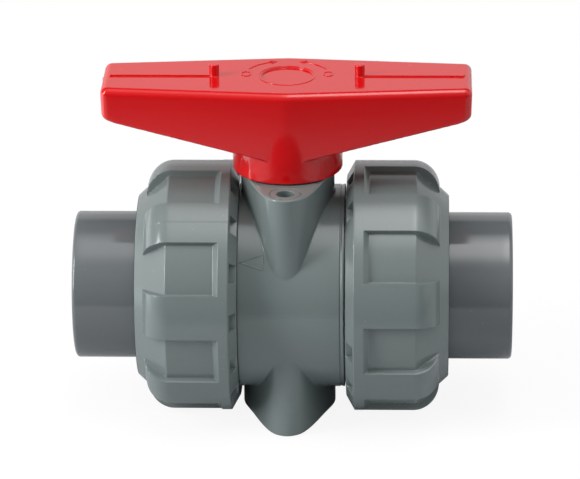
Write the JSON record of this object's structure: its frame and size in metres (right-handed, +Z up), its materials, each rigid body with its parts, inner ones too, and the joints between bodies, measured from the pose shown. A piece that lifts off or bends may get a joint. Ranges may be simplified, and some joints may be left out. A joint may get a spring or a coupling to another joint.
{
  "type": "true union ball valve",
  "caption": "Inline plastic ball valve with a union nut and socket connector on each pipe end, a quarter-turn T handle and a bolt-down foot.",
  "frame": {"origin": "centre of the foot's base face, straight under the stem; the pipe axis is 35.4 mm above it", "axes": "X along the pipe with the seat carrier's side at +X, +Z up through the stem to the handle, -Y towards the front"},
  "size_m": [0.1217, 0.07, 0.101],
  "materials": {
    "housing_pvc": "moulded grey PVC, semi-gloss",
    "nut_pvc": "moulded grey-green PVC, semi-gloss",
    "connector_pvc": "moulded darker grey PVC, smooth",
    "handle_red": "moulded red plastic, glossy",
    "ptfe": "turned white PTFE",
    "epdm": "black EPDM",
    "insert_brass": "turned brass"
  },
  "bodies": {
    "housing": {"body": "housing_pvc", "seat_carrier": "housing_pvc", "seat_left": "ptfe", "seat_right": "ptfe", "seat_backing_oring_left": "epdm", "seat_backing_oring_right": "epdm", "carrier_oring": "epdm", "face_oring_left": "epdm", "face_oring_right": "epdm", "stem_thrust_washer": "ptfe", "foot_insert_front": "insert_brass", "foot_insert_rear": "insert_brass"},
    "stem": {"stem": "housing_pvc", "ball": "connector_pvc", "stem_oring_lower": "epdm", "stem_oring_upper": "epdm"},
    "handle": {"handle": "handle_red"},
    "left_end": {"end_connector_left": "connector_pvc"},
    "left_nut": {"union_nut_left": "nut_pvc"},
    "right_end": {"end_connector_right": "connector_pvc"},
    "right_nut": {"union_nut_right": "nut_pvc"}
  },
  "joints": [
    {"name": "quarter_turn", "type": "hinge", "parent": "housing", "child": "stem", "pos_m": [0, 0, 0.0354], "axis": [0, 0, -1], "range_deg": [0, 90]},
    {"name": "handle_lift", "type": "slide", "parent": "stem", "child": "handle", "axis": [0, 0, 1], "range_m": [0, 0.016]},
    {"name": "left_end_slide", "type": "slide", "parent": "housing", "child": "left_end", "axis": [-1, 0, 0], "range_m": [0, 0.015]},
    {"name": "left_nut_turn", "type": "hinge", "parent": "left_end", "child": "left_nut", "pos_m": [-0.0276, 0, 0.0354], "axis": [-1, 0, 0], "range_deg": [0, 1080]},
    {"name": "right_end_slide", "type": "slide", "parent": "housing", "child": "right_end", "axis": [1, 0, 0], "range_m": [0, 0.015]},
    {"name": "right_nut_turn", "type": "hinge", "parent": "right_end", "child": "right_nut", "pos_m": [0.0305, 0, 0.0354], "axis": [1, 0, 0], "range_deg": [0, 1080]}
  ],
  "couplings": [
    {"joint": "left_end_slide", "follows": "left_nut_turn", "m_per_rad": 0.00079577},
    {"joint": "right_end_slide", "follows": "right_nut_turn", "m_per_rad": 0.00079577}
  ]
}
